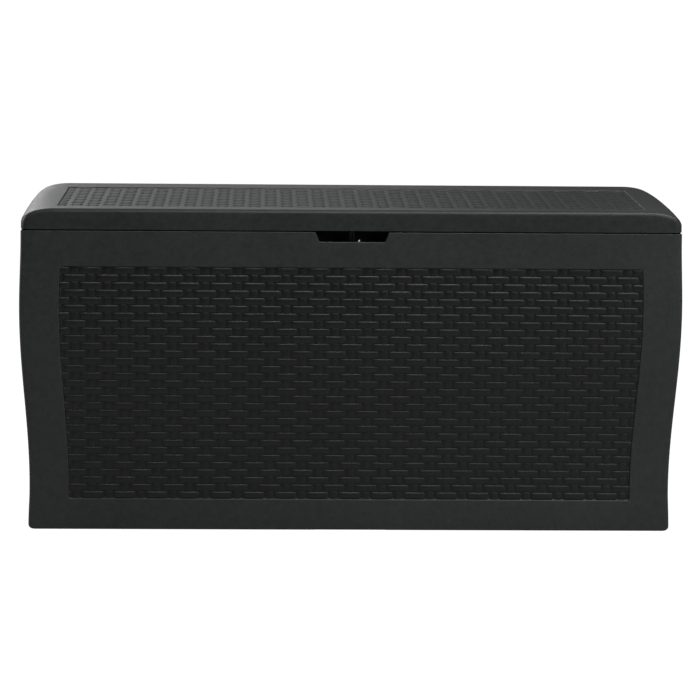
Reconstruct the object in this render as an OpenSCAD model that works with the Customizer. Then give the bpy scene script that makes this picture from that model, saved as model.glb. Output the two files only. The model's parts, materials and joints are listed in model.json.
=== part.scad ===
// Deck storage box: four curved wall panels joined at the corners round a floor, and a hinged lid.
// Origin: centre of the underside, on the ground. +X right, +Y rear, +Z up. Millimetres.

/* [Overall] */
// Greatest width, across the bulge of the two side panels
box_w = 1170; // [960:5:1450]
// Greatest depth, across the bulge of the front and rear panels
box_d = 447; // [370:1:560]
// Height of the wall panels' top edge, where the lid meets them
body_h = 538; // [430:1:660]
// Height of the lid's top above the wall panels' top edge
lid_rise = 39; // [35:1:50]
// Thickness of the moulded walls
wall = 3; // [2.5:0.1:3.6]

/* [Curved walls] */
// Distance from the panels' top edge down to the bulge
bulge_drop = 144; // [110:1:180]
// Height of the waist above the ground
waist_z = 85; // [70:1:110]
// Distance that the waist lies inside the bulge
waist_in = 15; // [8:0.5:18]
// Distance that the top edge lies inside the bulge
top_in = 3.5; // [3:0.5:5]
// Distance that the foot flares back out from the waist
foot_out = 2.5; // [0.5:0.5:5]
// Height of the panels' lower edge above the ground
foot_gap = 2; // [1:0.5:5]
// Radius of the panels' lower corners
foot_r = 8; // [4:1:12]

/* [Woven fields] */
// Depth of the sunken fields that hold the woven pattern
field_depth = 3; // [2:0.5:3.5]
// Width of the frame beside the front and rear fields
front_stile = 70; // [56:1:90]
// Width of the frame beside the side panels' fields
side_stile = 56; // [50:1:70]
// Height of the frame above a panel's field
top_rail = 63; // [60:1:80]
// Height of a field's lower edge above the ground
field_z = 57; // [45:1:80]
// Width of the border at each end of the lid's field
lid_border_x = 62; // [50:1:90]
// Width of the border in front of the lid's field
lid_border_front = 43; // [34:1:60]
// Width of the border behind the lid's field
lid_border_rear = 77; // [60:1:110]

/* [Panel joints] */
// Distance that the front and rear panels wrap round the corner
wrap = 34; // [32:1:38]
// Clearance between a side panel's tongue and the wrap that covers it
lap_gap = 0.3; // [0.2:0.1:0.5]
// Height of the lip that the lid closes over
lip_h = 10; // [6:1:11]
// Gap between the lip and the inside of the lid's skirt
lip_gap = 1.5; // [1.2:0.1:2.5]
// Height of the ledge that carries the lip
ledge_h = 6; // [4:1:8]
// Reach of the panels' bottom flanges
flange = 22; // [19:1:26]

/* [Floor] */
// Height of the floor's underside above the ground
floor_z = 18; // [16:1:24]
// Thickness of the floor plate and its ribs
floor_t = 3; // [2.5:0.5:4]

/* [Lid] */
// Gap between the panels' top edge and the lid's skirt
lid_gap = 2.5; // [2.5:0.1:3]
// Horizontal half-axis of the lid's curved ends
end_rx = 60; // [40:1:80]
// Height of the lid's curved ends
end_rz = 26; // [22:1:29]
// Radius of the lid's front and rear top edges
lid_edge_r = 8; // [6:1:12]
// Radius of the lid's corners in plan
lid_corner_r = 10; // [6:1:16]
// Thickness of the liner plate and its ribs
liner_t = 2.5; // [2:0.5:3]
// Gap between the lip's top and the liner
liner_gap = 4; // [4:0.5:5]

/* [Hinges] */
// Distance from the centre hinge to each outer hinge
hinge_pitch = 400; // [250:5:420]
// Distance of the hinge axis inside the lid's rear face
hinge_in = 4; // [4:0.1:4.5]
// Height of the hinge axis above the lid's lower edge
hinge_up = 4; // [4:0.1:4.5]
// Radius of the hinge pin
pin_r = 3; // [2.5:0.1:3.6]
// Radial clearance between the pin and the knuckles
pin_clear = 0.08; // [0.05:0.01:0.1]
// Outer radius of the knuckles
knuckle_r = 7; // [6.5:0.1:7.2]
// Length of the lid leaf's knuckle
leaf_knuckle = 30; // [24:1:40]
// Length of each of the bracket's knuckles
bracket_knuckle = 22; // [18:1:28]
// Gap between neighbouring knuckles
knuckle_gap = 0.5; // [0.4:0.1:1]

/* [Lock and finger pocket] */
// Width of the finger notch at the panel's top edge
notch_top = 129; // [110:1:150]
// How far each end of the finger notch leans inward from its top to its bottom
notch_lean = 5.5; // [2:0.5:12]
// Depth of the finger notch below the panel's top edge
notch_h = 17; // [14:0.1:21]
// Radius of the padlock hole
padlock_r = 4.5; // [3.5:0.5:5]
// Thickness of the two tabs that the padlock passes through
tab_t = 4; // [3:0.5:5]
// Depth of the pocket behind the front panel's outer face
pocket_depth = 44; // [40:1:52]

/* [Carrying handles] */
// Length of the handle opening
handle_w = 116; // [100:1:130]
// Height of the handle opening
handle_h = 28; // [26:1:30]
// Depth of the handle cup
handle_depth = 24; // [20:1:28]

/* [Screws] */
// Radius of the screws' shanks
screw_r = 1.8; // [1.5:0.1:2]
// Radius of the screws' heads
head_r = 4; // [3.5:0.1:4.2]
// Height of the screws' heads
head_h = 2.2; // [1.8:0.1:2.4]
// Radial clearance of the screw holes
screw_clear = 0.2; // [0.1:0.05:0.3]

/* [Hidden] */
$fn = 48;

charcoal = [0.17, 0.175, 0.17];
lid_grey = [0.2, 0.205, 0.2];
black = [0.06, 0.06, 0.06];
steel = [0.6, 0.6, 0.62];

// Small distances that more than one piece uses
over = 1;                               // reach past a face, so that a cut or a join goes right in
fit = 0.3;                              // gap between two pieces that lie on each other
seat = 0.1;                             // gap under a screw's head
skin = 0.6;                             // material left in front of a blind screw hole
field_wall = field_depth + wall;        // depth of a field together with the wall behind it
profile_steps = 14;
arc_steps = 6;

// Heights
bulge_z = body_h - bulge_drop;
// The walls are straight between their profile steps, and lie this far inside their curve there
chord_turn = 90 * (body_h - foot_gap) / profile_steps / (bulge_z - waist_z);
chord_in = waist_in / 2 * (1 - cos(chord_turn));
field_top = body_h - top_rail;
lid_low = body_h + lid_gap;
lid_top = body_h + lid_rise;
lip_top = body_h + lip_h;
liner_z = lip_top + liner_gap;
liner_top = liner_z + liner_t;
pad_z = lid_top - field_wall;           // underside of the lid's sunken field
flange_z = floor_z - wall;              // underside of the bottom flanges
notch_z = body_h - notch_h;
notch_low = notch_top - 2 * notch_lean;

// Half sizes at the top edge, which the lid shares
top_x = box_w / 2 - top_in;
top_y = box_d / 2 - top_in;
lip_out = wall + lip_gap;               // the lip's outer face, inside the panel's outer face
lip_in = lip_out + wall;

// Corner joints: the side panel's tongue lies behind the wrap
tongue_out = wall + lap_gap;            // the tongue's outer face, inside the panel's outer face
tongue_in = tongue_out + wall;
wrap_end = box_d / 2 - wrap;            // where the wraps stop
tongue_end = box_d / 2 - waist_in - wall - 1;
jog = 12;                               // length of the thick stretch that carries the tongue
tongue_low = floor_z + floor_t + 4;
tongue_top = body_h - ledge_h - 1;

// Handle cups
hook = 6;                               // how far a cup reaches up behind the panel
handle_z = body_h - ledge_h - wall - hook - 2 - handle_h / 2 - 3;

// Hinges
axis_y = top_y - hinge_in;
axis_z = lid_low + hinge_up;
bore_r = pin_r + pin_clear;
hinge_l = leaf_knuckle + 2 * bracket_knuckle + 2 * knuckle_gap;
pin_head_t = 2;
pin_head_r = pin_r + 2;
hinge_cut = hinge_l + 2 * pin_head_t + 6;    // length of the cut-outs round a hinge
bracket_t = 4.2;
bracket_drop = 38;                      // reach of the bracket's plate below the panel's top edge
bracket_y = top_y - wall - fit - bracket_t;
leaf_top = liner_z - fit;
leaf_low = axis_z + 1.5;
leaf_t = leaf_top - leaf_low;
leaf_reach = 40;                        // reach of the leaf in front of the hinge axis
leaf_back = knuckle_r + 2;              // where the leaf becomes wide, in front of the axis

// Lock: two upright tabs side by side, one on the lid and one in the pocket
tab_gap = 1;                            // gap between the two tabs
tab_y = -top_y + 8;                     // front edge of the tabs
tab_d = 20;                             // depth of the tabs
hole_y = tab_y + 8;
hole_z = notch_z + notch_h / 2;
tab_foot = 18;                          // reach of a tab's foot to the side
pocket_t = 2.5;
pocket_x = notch_top / 2 + 4;           // half the pocket's inner width
pocket_rim = 12;                        // width of the pocket's fixing rim
pocket_y = -top_y + wall + fit;         // front face of that rim
pocket_low = notch_z - 3;               // top of the pocket's floor

hole_r = screw_r + screw_clear;
boss_r = 4.4;                           // radius of the screw bosses
boss_h = 6;                             // height of the liner's bosses

// ---------------------------------------------------------------- curves

// 0 to 1, level at both ends
function ease(t) = (1 - cos(180 * t)) / 2;

// How far the wall lies inside the bulge at height z
function inset_at(z) =
    z >= bulge_z ? top_in * ease((z - bulge_z) / bulge_drop) :
    z >= waist_z ? waist_in * ease((bulge_z - z) / (bulge_z - waist_z)) :
    waist_in - foot_out * ease((waist_z - z) / waist_z);

function half_w(z) = box_w / 2 - inset_at(z);
function half_d(z) = box_d / 2 - inset_at(z);

// Points of a wall's curve from z0 to z1, lying inset inside its outer face
function wall_line(half, inset, z0, z1) = [for (i = [0 : profile_steps])
    let (z = z0 + (z1 - z0) * i / profile_steps) [half - inset_at(z) - inset, z]];

// Points of an elliptical arc
function arc(cx, cz, rx, rz, a0, a1) = [for (i = [0 : arc_steps])
    let (a = a0 + (a1 - a0) * i / arc_steps) [cx + rx * cos(a), cz + rz * sin(a)]];

function reversed(points) = [for (i = [len(points) - 1 : -1 : 0]) points[i]];
function flipped(points) = [for (p = points) [-p[0], p[1]]];

// Outline that is the same on the left as the given points are on the right
module both_ways(right) {
    polygon(concat(right, reversed(flipped(right))));
}

// Section of one wall between two insets
module wall_section(half, out, in, z0, z1) {
    polygon(concat(wall_line(half, out, z0, z1), reversed(wall_line(half, in, z0, z1))));
}

// Outline of the whole body with rounded lower corners
module body_outline(half) {
    z0 = foot_gap + foot_r;
    x0 = half - inset_at(z0) - foot_r;
    both_ways(concat(arc(x0, z0, foot_r, foot_r, -90, 0), wall_line(half, 0, z0 + 1, body_h)));
}

// Outline of a sunken field, grown by some distance
module field_outline(half, stile, grow) {
    both_ways(wall_line(half, stile - grow, field_z - grow, field_top + grow));
}

// Outline with rounded corners, centred
module rounded(w, h, r) {
    right = concat(arc(w / 2 - r, r - h / 2, r, r, -90, 0), arc(w / 2 - r, h / 2 - r, r, r, 0, 90));
    both_ways(right);
}

// Extrudes an outline drawn in X and Z along Y
module along_y(y0, y1) {
    translate([0, y1, 0]) rotate([90, 0, 0]) linear_extrude(y1 - y0) children();
}

// Extrudes an outline drawn in Y and Z along X
module along_x(x0, x1) {
    translate([x0, 0, 0]) rotate([90, 0, 90]) linear_extrude(x1 - x0) children();
}

module block(x, y, z) {
    translate([x[0], y[0], z[0]]) cube([x[1] - x[0], y[1] - y[0], z[1] - z[0]]);
}

module both_sides() {
    children();
    mirror([1, 0, 0]) children();
}

// ---------------------------------------------------------------- screws

// Cross-head screw: the head stands on z = 0 and the shank reaches down from it
module screw(reach) {
    cross_l = head_r * 1.2;
    cross_w = head_r * 0.3;
    difference() {
        union() {
            cylinder(h = head_h, r1 = head_r, r2 = head_r * 0.7);
            translate([0, 0, -reach]) cylinder(h = reach + head_h / 3, r = screw_r);
        }
        for (a = [0, 90]) rotate([0, 0, a])
            translate([-cross_l / 2, -cross_w / 2, head_h / 2]) cube([cross_l, cross_w, head_h]);
    }
}

module screw_hole(reach) {
    translate([0, 0, -reach]) cylinder(h = reach + over, r = hole_r);
}

// Lengths of the screws' shanks
floor_reach = floor_t + wall + 4;
corner_reach = 2 * wall + lap_gap - skin;
pocket_reach = pocket_t + fit + wall - skin;
lock_reach = wall + pocket_t + 2;
bracket_reach = bracket_t + fit + wall - skin;
leaf_reach_up = leaf_t + fit + liner_t + 4;
liner_reach = liner_t + 8;
hasp_reach = tab_t + fit + liner_t + 4;
hole_more = 0.4;                        // a hole is this much longer than its screw

// Places of the screws: the head's seat at z = 0 and the shank along -Z
module at_floor_screws() {
    for (y = [-1, 1], k = [-1.5, -0.5, 0.5, 1.5])
        translate([k * (box_w - 170) / 3, y * (half_d(floor_z) - flange + 6), floor_z + floor_t + seat])
            children();
    for (x = [-1, 1], y = [-1, 1])
        translate([x * (half_w(floor_z) - flange + 6), y * (box_d / 2 - 120), floor_z + floor_t + seat])
            children();
}

module at_corner_screws() {
    for (x = [-1, 1], y = [-1, 1], z = [waist_z, bulge_z, body_h - 18])
        translate([x * (half_w(z) - tongue_in - chord_in - seat), y * (wrap_end + tongue_end) / 2, z])
            rotate([0, -90 * x, 0]) children();
}

module at_pocket_screws() {
    for (x = [-1, 1], z = [pocket_low - 6, pocket_low + 10])
        translate([x * (pocket_x + pocket_t + pocket_rim / 2), pocket_y + pocket_t + seat, z])
            rotate([-90, 0, 0]) children();
}

module at_lock_screws() {
    for (y = [5, tab_d - 5])
        translate([tab_gap / 2 + tab_foot - 6, tab_y + y, pocket_low + wall + seat]) children();
}

module at_bracket_screws() {
    for (x = [-1, 1], drop = [14, 30])
        translate([x * (hinge_l / 2 - 9), bracket_y - seat, body_h - drop])
            rotate([90, 0, 0]) children();
}

module at_leaf_screws() {
    for (x = [-1, 1])
        translate([x * 22, axis_y - leaf_reach + 12, leaf_low - seat]) rotate([180, 0, 0]) children();
}

module at_liner_screws() {
    for (k = [-2, -1, 1, 2], y = [-1, 1])
        translate([k * (top_x - 130) / 2, y * (top_y - 100), liner_z - seat])
            rotate([180, 0, 0]) children();
}

module at_hasp_screws() {
    for (y = [5, tab_d - 5])
        translate([-tab_gap / 2 - tab_foot + 6, tab_y + y, liner_z - fit - tab_t - seat])
            rotate([180, 0, 0]) children();
}

// ---------------------------------------------------------------- wall panels

// A long wall on the +Y side: skin, sunken field, wraps, rim and bottom flange
module long_wall(lip) {
    difference() {
        union() {
            intersection() {
                union() {
                    along_x(-box_w / 2, box_w / 2)
                        wall_section(box_d / 2, 0, wall, foot_gap, body_h);
                    long_field(0, field_wall, wall);
                }
                along_y(0, box_d / 2) body_outline(box_w / 2);
            }
            both_sides() corner_wrap();
            long_rim(lip);
            block([45 - half_w(floor_z), half_w(floor_z) - 45],
                [half_d(floor_z) - flange, half_d(floor_z) - wall + over], [flange_z, floor_z]);
        }
        long_field(-over, field_depth, 0);
        at_floor_screws() screw_hole(floor_reach + hole_more);
        at_corner_screws() screw_hole(corner_reach + hole_more);
    }
}

// Region of a long wall's field between two depths
module long_field(out, in, grow) {
    intersection() {
        along_x(-box_w / 2, box_w / 2) wall_section(box_d / 2, out, in, foot_gap, body_h);
        along_y(0, box_d) field_outline(box_w / 2, front_stile, grow);
    }
}

// The stretch that turns round the right-hand corner
module corner_wrap() {
    intersection() {
        along_y(wrap_end, box_d / 2) wall_section(box_w / 2, 0, wall, foot_gap, body_h);
        along_x(0, box_w / 2) body_outline(box_d / 2);
        along_y(0, box_d / 2) body_outline(box_w / 2);
    }
}

// Ledge along a long wall's top edge, and the lip on it
module long_rim(lip) {
    x = top_x - wrap / 2;
    block([-x, x], [top_y - lip_in, top_y - over], [body_h - ledge_h, body_h]);
    if (lip) block([-x, x], [top_y - lip_in, top_y - lip_out], [body_h - over, lip_top]);
}

// Finger notch: a trapezium with rounded lower corners, cut through the front wall
module finger_notch() {
    r = 4;
    lean = atan(notch_lean / notch_h);
    right = concat(arc(notch_low / 2 - r, notch_z + r, r, r, -90, -lean),
        [[notch_top / 2, body_h], [notch_top / 2, lip_top + over]]);
    along_y(-box_d / 2 - over, -top_y + wall + over) both_ways(right);
}

module front_panel() {
    side = pocket_x + pocket_t + pocket_rim + 2;
    color(charcoal) difference() {
        mirror([0, 1, 0]) long_wall(true);
        finger_notch();
        // the ledge and the lip make room for the pocket
        block([-side, side], [-top_y + wall, -top_y + lip_in + over],
            [body_h - ledge_h - over, lip_top + over]);
        at_pocket_screws() screw_hole(pocket_reach + hole_more);
    }
}

module rear_panel() {
    color(charcoal) difference() {
        long_wall(false);
        for (x = [-hinge_pitch, 0, hinge_pitch]) translate([x, 0, 0]) {
            // room in the ledge for the bracket, and in the wall's edge for the knuckles
            block([-hinge_cut / 2, hinge_cut / 2], [top_y - lip_in - over, top_y - wall],
                [body_h - ledge_h - over, body_h + over]);
            block([-hinge_cut / 2, hinge_cut / 2], [top_y - wall - over, box_d / 2 + over],
                [axis_z - knuckle_r - 1.5, body_h + over]);
            at_bracket_screws() screw_hole(bracket_reach + hole_more);
        }
    }
}

// Handle opening and the cup behind it, grown by some distance
module handle_cup(grow, x0, x1) {
    translate([0, 0, handle_z]) along_x(x0, x1)
        rounded(handle_w + 2 * grow, handle_h + 2 * grow, 9 + grow);
}

// The cup's upper part, which reaches up behind the panel
module handle_hook(grow) {
    x0 = half_w(handle_z) - handle_depth - grow;
    x1 = half_w(handle_z) - wall - 1 + grow;
    translate([0, 0, handle_z + hook]) along_x(x0, x1)
        rounded(handle_w + 2 * grow, handle_h + 2 * grow, 9 + grow);
}

// The right-hand side panel: skin, sunken field, tongues behind the wraps, handle cup and rim
module side_panel() {
    skin_end = wrap_end - lap_gap;
    lip_end = top_y - lip_in - hinge_in - 6;
    cup_x = half_w(handle_z) - handle_depth;
    difference() {
        union() {
            intersection() {
                union() {
                    along_y(-skin_end, skin_end) wall_section(box_w / 2, 0, wall, foot_gap, body_h);
                    side_field(0, field_wall, wall);
                }
                along_y(-box_d / 2, box_d / 2) body_outline(box_w / 2);
            }
            for (y = [-1, 1]) scale_y(y) {
                along_y(skin_end - jog, skin_end)
                    wall_section(box_w / 2, over, tongue_in, tongue_low, tongue_top);
                along_y(skin_end - over, tongue_end)
                    wall_section(box_w / 2, tongue_out, tongue_in, tongue_low, tongue_top);
            }
            handle_cup(wall, cup_x - wall, half_w(handle_z) - over);
            handle_hook(wall);
            block([top_x - lip_in, top_x - over], [-skin_end, skin_end], [body_h - ledge_h, body_h]);
            block([top_x - lip_in, top_x - lip_out], [-lip_end, lip_end],
                [body_h - ledge_h, lip_top]);
            block([half_w(floor_z) - flange, half_w(floor_z) - wall + over],
                [45 - half_d(floor_z), half_d(floor_z) - 45], [flange_z, floor_z]);
        }
        side_field(-over, field_depth, 0);
        handle_cup(0, cup_x, box_w);
        handle_hook(0);
        at_floor_screws() screw_hole(floor_reach + hole_more);
        at_corner_screws() screw_hole(corner_reach + hole_more);
    }
}

// Region of a side panel's field between two depths
module side_field(out, in, grow) {
    intersection() {
        along_y(-box_d / 2, box_d / 2) wall_section(box_w / 2, out, in, foot_gap, body_h);
        along_x(0, box_w) field_outline(box_d / 2, side_stile, grow);
    }
}

// Keeps its children on the +Y side, or mirrors them to the -Y side
module scale_y(sign) {
    if (sign > 0) children();
    else mirror([0, 1, 0]) children();
}

module right_side_panel() {
    color(charcoal) side_panel();
}

module left_side_panel() {
    color(charcoal) mirror([1, 0, 0]) side_panel();
}

// ---------------------------------------------------------------- floor

module floor_panel() {
    x = half_w(floor_z) - wall - 1;
    y = half_d(floor_z) - wall - 1;
    px = half_w(floor_z) - flange - 5;      // outer faces of the plinth
    py = half_d(floor_z) - flange - 5;
    rib_low = floor_z / 2;
    color(charcoal) difference() {
        union() {
            block([-x, x], [-y, y], [floor_z, floor_z + floor_t]);
            difference() {
                block([-px, px], [-py, py], [0, floor_z + over]);
                block([floor_t - px, px - floor_t], [floor_t - py, py - floor_t],
                    [-over, floor_z + 2 * over]);
            }
            // ribs under the plate, and four skids that reach the ground
            for (k = [-4 : 4])
                block([k * px / 5 - floor_t / 2, k * px / 5 + floor_t / 2], [-py + 1, py - 1],
                    [rib_low, floor_z + over]);
            for (k = [-3, -1, 1, 3])
                block([-px + 1, px - 1], [k * py / 5 - floor_t / 2, k * py / 5 + floor_t / 2],
                    [0, floor_z + over]);
        }
        at_floor_screws() screw_hole(floor_reach + hole_more);
    }
}

// ---------------------------------------------------------------- lock and pocket

module finger_pocket() {
    x = pocket_x + pocket_t;
    back = -top_y + pocket_depth;
    color(black) difference() {
        union() {
            block([-x, x], [pocket_y, back], [pocket_low - pocket_t, lip_top]);
            block([-x - pocket_rim, x + pocket_rim], [pocket_y, pocket_y + pocket_t],
                [pocket_low - pocket_rim, body_h - 1]);
        }
        block([-pocket_x, pocket_x], [pocket_y - over, back - pocket_t],
            [pocket_low, lip_top + over]);
        // the upper part stays clear of the lid's skirt
        block([-x - over, x + over], [pocket_y - over, -top_y + lip_out], [body_h - 1, lip_top + over]);
        at_pocket_screws() screw_hole(pocket_reach + hole_more);
        at_lock_screws() screw_hole(lock_reach + hole_more);
    }
}

// Padlock hole across both tabs
module padlock_hole() {
    translate([-box_w / 10, hole_y, hole_z]) rotate([0, 90, 0]) cylinder(h = box_w / 5, r = padlock_r);
}

module lock_tab() {
    x0 = tab_gap / 2;
    color(steel) difference() {
        union() {
            block([x0, x0 + tab_t], [tab_y, tab_y + tab_d], [pocket_low, hole_z + padlock_r + 4]);
            block([x0, x0 + tab_foot], [tab_y, tab_y + tab_d], [pocket_low, pocket_low + wall]);
        }
        padlock_hole();
        at_lock_screws() screw_hole(lock_reach + hole_more);
    }
}

module hasp_tab() {
    x0 = -tab_gap / 2;
    top = liner_z - fit;
    color(steel) difference() {
        union() {
            block([x0 - tab_t, x0], [tab_y, tab_y + tab_d], [hole_z - padlock_r - 3.5, top]);
            block([x0 - tab_foot, x0], [tab_y, tab_y + tab_d], [top - tab_t, top]);
        }
        padlock_hole();
        at_hasp_screws() screw_hole(hasp_reach + hole_more);
    }
}

// Soft caps clipped on the lip, on which the closed lid rests
module lid_buffers() {
    color(black) {
        for (x = [-1, 1]) translate([x * box_w / 4, -top_y + lip_out, 0]) buffer();
        for (x = [-1, 1], y = [-1, 1])
            translate([x * (top_x - lip_out), y * box_d / 4, 0]) rotate([0, 0, 90 * x]) buffer();
    }
}

// One cap over a lip whose outer face is at y = 0 and which lies on the +Y side of it
module buffer() {
    outside = min(0.8, lip_gap / 2);
    difference() {
        block([-12, 12], [-outside, wall + 1.5], [lip_top - 4, liner_z - fit]);
        block([-12 - over, 12 + over], [0, wall], [lip_top - 4 - over, lip_top]);
    }
}

// ---------------------------------------------------------------- lid

// The lid's outer form, lying some distance inside its outer face
module lid_form(inset, z0) {
    spring = lid_top - end_rz;
    edge_z = lid_top - lid_edge_r;
    w = 2 * (top_x - inset);
    d = 2 * (top_y - inset);
    intersection() {
        along_y(-top_y, top_y) both_ways(concat([[top_x - inset, z0]],
            arc(top_x - end_rx, spring, end_rx - inset, end_rz - inset, 0, 90)));
        along_x(-top_x, top_x) both_ways(concat([[top_y - inset, z0]],
            arc(top_y - lid_edge_r, edge_z, lid_edge_r - inset, lid_edge_r - inset, 0, 90)));
        translate([0, 0, z0]) linear_extrude(lid_top - inset - z0)
            rounded(w, d, lid_corner_r - inset);
    }
}

// Block over the lid's sunken field, grown by some distance
module lid_field(grow, z0, z1) {
    x = top_x - lid_border_x + grow;
    block([-x, x], [-top_y + lid_border_front - grow, top_y - lid_border_rear + grow], [z0, z1]);
}

module lid_shell() {
    color(lid_grey) difference() {
        union() {
            difference() {
                lid_form(0, lid_low);
                lid_form(wall, lid_low - over);
            }
            lid_field(wall, pad_z, lid_top - over);
            // bosses for the liner's screws
            at_liner_screws() translate([0, 0, -lid_top + liner_z + over])
                cylinder(h = lid_top - over - liner_top - seat, r = boss_r);
        }
        lid_field(0, lid_top - field_depth, lid_top + over);
        at_liner_screws() screw_hole(liner_reach + hole_more);
        for (x = [-hinge_pitch, 0, hinge_pitch]) translate([x, 0, 0])
            block([-hinge_cut / 2, hinge_cut / 2], [top_y - wall - over, top_y + over],
                [lid_low - over, axis_z + knuckle_r + 1.5]);
    }
}

// Places of the hinge screws of all three hinges
module at_all_leaf_screws() {
    for (x = [-hinge_pitch, 0, hinge_pitch]) translate([x, 0, 0]) at_leaf_screws() children();
}

module lid_liner() {
    pitch = (top_x - 130) / 2;              // distance between the liner's screws
    rib_x = 2 * pitch + 25;
    rib_y = top_y - 60;
    rib_top = pad_z - 0.5;
    color(black) difference() {
        union() {
            intersection() {
                lid_form(wall + 1, liner_z);
                block([-top_x, top_x], [-top_y, axis_y - leaf_back], [liner_z, liner_top]);
            }
            // rib grid, with its bays round the shell's bosses
            for (k = [-1.5 : 1.5])
                block([k * pitch - liner_t / 2, k * pitch + liner_t / 2], [-rib_y, rib_y],
                    [liner_z + over, rib_top]);
            for (k = [-2 : 2])
                block([-rib_x, rib_x], [k * rib_y / 2 - liner_t / 2, k * rib_y / 2 + liner_t / 2],
                    [liner_z + over, rib_top]);
            for (x = [-1, 1])
                block([x * rib_x - liner_t / 2, x * rib_x + liner_t / 2], [-rib_y, rib_y],
                    [liner_z + over, rib_top]);
            at_all_leaf_screws() liner_boss(leaf_t + fit + liner_t + boss_h);
            at_hasp_screws() liner_boss(tab_t + fit + liner_t + boss_h);
        }
        at_liner_screws() screw_hole(liner_reach + hole_more);
        at_all_leaf_screws() screw_hole(leaf_reach_up + hole_more);
        at_hasp_screws() screw_hole(hasp_reach + hole_more);
    }
}

// Boss on the liner round a screw whose seat lies far below its top
module liner_boss(reach) {
    translate([0, 0, -reach]) cylinder(h = boss_h + over, r = boss_r);
}

// ---------------------------------------------------------------- hinges

module knuckle(x0, x1) {
    translate([x0, axis_y, axis_z]) rotate([0, 90, 0]) cylinder(h = x1 - x0, r = knuckle_r);
}

module pin_bore() {
    translate([-hinge_l, axis_y, axis_z]) rotate([0, 90, 0]) cylinder(h = 2 * hinge_l, r = bore_r);
}

module hinge_bracket() {
    inner = leaf_knuckle / 2 + knuckle_gap;
    color(black) difference() {
        union() {
            block([-hinge_l / 2, hinge_l / 2], [bracket_y, bracket_y + bracket_t],
                [body_h - bracket_drop, axis_z - knuckle_r - 1.5]);
            both_sides() {
                block([inner, hinge_l / 2], [bracket_y, bracket_y + bracket_t],
                    [body_h - bracket_drop, axis_z]);
                knuckle(inner, hinge_l / 2);
            }
        }
        pin_bore();
        at_bracket_screws() screw_hole(bracket_reach + hole_more);
    }
}

module hinge_leaf() {
    color(black) difference() {
        union() {
            knuckle(-leaf_knuckle / 2, leaf_knuckle / 2);
            block([-leaf_knuckle / 2, leaf_knuckle / 2], [axis_y - leaf_back - over, axis_y],
                [leaf_low, min(leaf_top, axis_z + knuckle_r - 0.2)]);
            block([-hinge_l / 2, hinge_l / 2], [axis_y - leaf_reach, axis_y - leaf_back],
                [leaf_low, leaf_top]);
        }
        pin_bore();
        at_leaf_screws() screw_hole(leaf_reach_up + hole_more);
    }
}

module hinge_pin() {
    reach = hinge_l / 2 + fit;
    color(steel) translate([-reach - pin_head_t, axis_y, axis_z]) rotate([0, 90, 0]) {
        cylinder(h = 2 * (reach + pin_head_t), r = pin_r);
        cylinder(h = pin_head_t, r = pin_head_r);
        translate([0, 0, 2 * reach + pin_head_t]) cylinder(h = pin_head_t, r = pin_head_r);
    }
}

module hinge_bracket_left() { translate([-hinge_pitch, 0, 0]) hinge_bracket(); }
module hinge_bracket_centre() { hinge_bracket(); }
module hinge_bracket_right() { translate([hinge_pitch, 0, 0]) hinge_bracket(); }
module hinge_leaf_left() { translate([-hinge_pitch, 0, 0]) hinge_leaf(); }
module hinge_leaf_centre() { hinge_leaf(); }
module hinge_leaf_right() { translate([hinge_pitch, 0, 0]) hinge_leaf(); }
module hinge_pin_left() { translate([-hinge_pitch, 0, 0]) hinge_pin(); }
module hinge_pin_centre() { hinge_pin(); }
module hinge_pin_right() { translate([hinge_pitch, 0, 0]) hinge_pin(); }

// ---------------------------------------------------------------- screw groups

module floor_screws() {
    color(steel) at_floor_screws() screw(floor_reach);
}

module corner_screws() {
    color(steel) at_corner_screws() screw(corner_reach);
}

module pocket_screws() {
    color(steel) at_pocket_screws() screw(pocket_reach);
}

module lock_tab_screws() {
    color(steel) at_lock_screws() screw(lock_reach);
}

module hinge_bracket_screws() {
    color(steel) for (x = [-hinge_pitch, 0, hinge_pitch]) translate([x, 0, 0])
        at_bracket_screws() screw(bracket_reach);
}

module hinge_leaf_screws() {
    color(steel) at_all_leaf_screws() screw(leaf_reach_up);
}

module liner_screws() {
    color(steel) at_liner_screws() screw(liner_reach);
}

module hasp_screws() {
    color(steel) at_hasp_screws() screw(hasp_reach);
}

floor_panel();
front_panel();
rear_panel();
left_side_panel();
right_side_panel();
finger_pocket();
lock_tab();
lid_buffers();
lid_shell();
lid_liner();
hasp_tab();
hinge_bracket_left();
hinge_bracket_centre();
hinge_bracket_right();
hinge_leaf_left();
hinge_leaf_centre();
hinge_leaf_right();
hinge_pin_left();
hinge_pin_centre();
hinge_pin_right();
floor_screws();
corner_screws();
pocket_screws();
lock_tab_screws();
hinge_bracket_screws();
hinge_leaf_screws();
liner_screws();
hasp_screws();
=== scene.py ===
"""Looks of the deck storage box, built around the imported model.

Lengths are in millimetres until a mesh is made.
"""

import json
import math

import bmesh
import bpy
from mathutils import Matrix, Vector


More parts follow.
